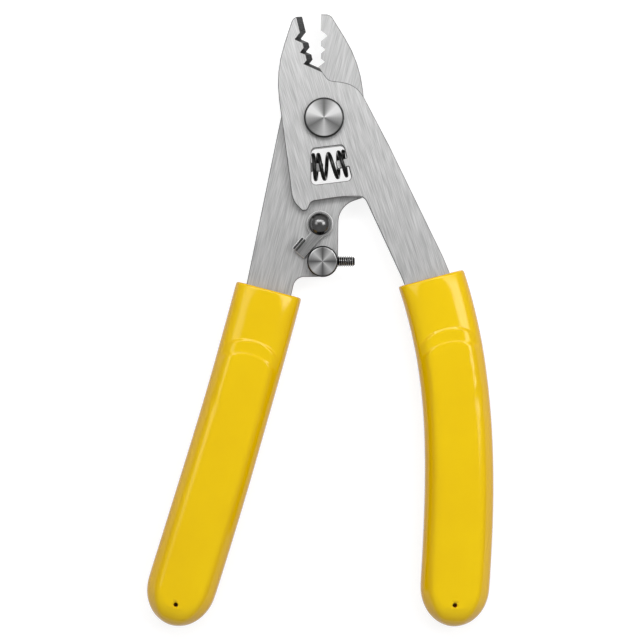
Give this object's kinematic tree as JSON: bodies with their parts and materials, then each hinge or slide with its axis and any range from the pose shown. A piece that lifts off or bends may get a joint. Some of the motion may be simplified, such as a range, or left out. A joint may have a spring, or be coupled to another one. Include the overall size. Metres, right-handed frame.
{
  "type": "fibre stripper",
  "caption": "Hand tool for stripping optical fibre: two lapped, notched blades on a pivot screw, with a return spring, a folding latch, a closing stop screw and moulded grips.",
  "frame": {"origin": "the pivot's axis, on the plane that the tool lies on: the pivot nut's outer face, flush with the pivot screw's end", "axes": "+Z along the pivot's axis, towards the screw's head; +Y towards the jaw tips, along the back blade's centre line; +X towards the right-hand handle"},
  "size_m": [0.0903, 0.1594, 0.011],
  "materials": {
    "blade_steel": "fine satin grinding lines along each blade, edges softly broken",
    "turned_steel": "faced on the lathe, with fine rings and a bright radial sheen",
    "plain_steel": "plated steel, slightly dull",
    "sheet_steel": "stamped sheet, bright, with a satin face",
    "black_steel": "black oxide, slightly glossy",
    "spring_steel": "dark drawn spring wire, slightly oily",
    "yellow_pvc": "glossy moulded vinyl with soft, rounded borders"
  },
  "bodies": {
    "back_half": {"back_blade": "blade_steel", "left_grip": "yellow_pvc", "pivot_screw": "turned_steel", "pivot_washer": "plain_steel", "pivot_nut": "plain_steel", "latch_rivet": "black_steel", "latch_washer": "plain_steel", "stop_post": "turned_steel", "return_spring": "spring_steel"},
    "front_half": {"front_blade": "blade_steel", "right_grip": "yellow_pvc"},
    "latch": {"latch_lever": "sheet_steel"},
    "stop": {"stop_screw": "black_steel"}
  },
  "joints": [
    {"name": "handles", "type": "hinge", "parent": "back_half", "child": "front_half", "pos_m": [0, 0, 0.0068], "axis": [0, 0, 1], "range_deg": [-13.8, 0], "stiffness_Nm_per_rad": 0.5, "deforming": ["return_spring"]},
    {"name": "latch_turn", "type": "hinge", "parent": "back_half", "child": "latch", "pos_m": [-0.00109, -0.02746, 0.0063], "axis": [0, 0, 1], "range_deg": [-70, 0]},
    {"name": "stop_adjust", "type": "slide", "parent": "back_half", "child": "stop", "axis": [1, 0, 0], "range_m": [-0.002, 0]}
  ]
}
